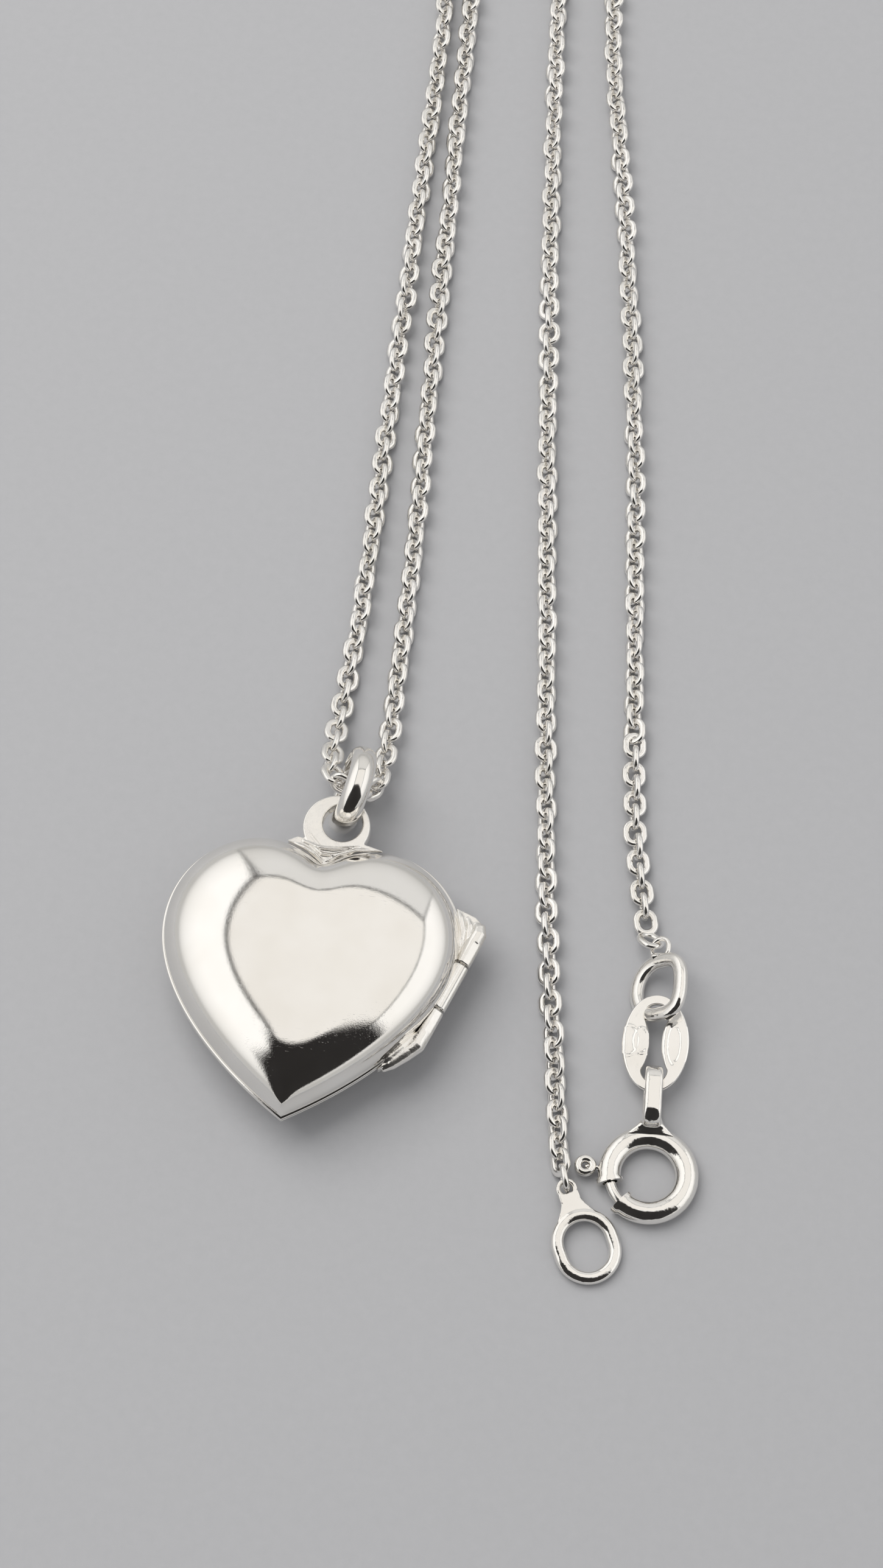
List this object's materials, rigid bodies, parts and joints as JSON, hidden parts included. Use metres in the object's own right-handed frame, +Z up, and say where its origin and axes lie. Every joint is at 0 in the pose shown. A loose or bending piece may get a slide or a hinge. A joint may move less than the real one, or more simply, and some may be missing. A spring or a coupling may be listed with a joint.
{
  "type": "heart locket on a chain",
  "caption": "Puffed heart locket with a hinged front cover and photo frames inside, on an oval bail and a fine cable chain with a spring ring clasp.",
  "frame": {"origin": "middle of the flat patch on the back cover that the locket lies on", "axes": "+Z up, out of the front cover; +Y from the heart's tip to its cleft and bail; +X towards the hinge"},
  "size_m": [0.0316, 0.1173, 0.0056],
  "materials": {
    "cover_silver": "polished",
    "hinge_silver": "polished",
    "frame_silver": "polished",
    "bail_silver": "polished",
    "chain_silver": "polished",
    "clasp_silver": "polished",
    "spring_steel": "drawn wire",
    "clear_window": "clear",
    "photo_card": "matt"
  },
  "bodies": {
    "chain": {"chain": "chain_silver", "ring_end_link": "chain_silver", "clasp_end_link": "chain_silver"},
    "bail": {"bail": "bail_silver"},
    "locket_back": {"back_cover": "cover_silver", "hinge_knuckle_top": "hinge_silver", "hinge_knuckle_bottom": "hinge_silver", "hinge_pin": "hinge_silver", "snap_rim": "hinge_silver", "back_photo_frame": "frame_silver", "back_photo_window": "clear_window", "back_photo_card": "photo_card", "eye": "hinge_silver"},
    "locket_front": {"front_cover": "cover_silver", "hinge_knuckle_middle": "hinge_silver", "front_photo_frame": "frame_silver", "front_photo_window": "clear_window", "front_photo_card": "photo_card"},
    "end_ring": {"end_ring": "clasp_silver"},
    "joining_ring": {"joining_ring": "clasp_silver", "joining_ring_eye": "clasp_silver"},
    "tag": {"tag": "clasp_silver"},
    "spring_ring": {"spring_ring_body": "clasp_silver", "clasp_loop": "clasp_silver", "clasp_spring": "spring_steel"},
    "trigger": {"trigger": "clasp_silver"}
  },
  "joints": [
    {"name": "bail_on_chain", "type": "hinge", "parent": "chain", "child": "bail", "pos_m": [0.00081, 0.01171, 0.00236], "axis": [-0.9606, 0.101, 0.2588], "range_deg": [0, 40]},
    {"name": "locket_on_bail", "type": "hinge", "parent": "bail", "child": "locket_back", "pos_m": [0.00087, 0.01142, 0.00275], "axis": [-0.9606, 0.101, 0.2588], "range_deg": [0, 70]},
    {"name": "cover_hinge", "type": "hinge", "parent": "locket_back", "child": "locket_front", "pos_m": [0.00808, 0.0001, 0.0028], "axis": [0.3371, 0.9415, 0], "range_deg": [0, 150]},
    {"name": "end_ring_swing", "type": "hinge", "parent": "chain", "child": "end_ring", "pos_m": [0.01586, -0.00944, 0.00071], "axis": [-0.9455, -0.3256, 0], "range_deg": [0, 60]},
    {"name": "joining_ring_swing", "type": "hinge", "parent": "chain", "child": "joining_ring", "pos_m": [0.01932, 0.00494, 0.00117], "axis": [-0.9982, -0.0593, 0], "range_deg": [0, 20]},
    {"name": "tag_swing", "type": "hinge", "parent": "joining_ring", "child": "tag", "pos_m": [0.01977, 0.00208, 0.00136], "axis": [-0.668, -0.0397, 0.7431], "range_deg": [0, 40]},
    {"name": "spring_ring_swing", "type": "hinge", "parent": "tag", "child": "spring_ring", "pos_m": [0.0201, -0.00341, 0.0011], "axis": [-0.9982, -0.0593, 0], "range_deg": [0, 50]},
    {"name": "trigger_pull", "type": "hinge", "parent": "spring_ring", "child": "trigger", "pos_m": [0.0204, -0.0085, 0.0006], "axis": [0, 0, -1], "range_deg": [0, 41], "stiffness_Nm_per_rad": 0.002, "springref_deg": -17.19, "deforming": ["clasp_spring"]}
  ]
}
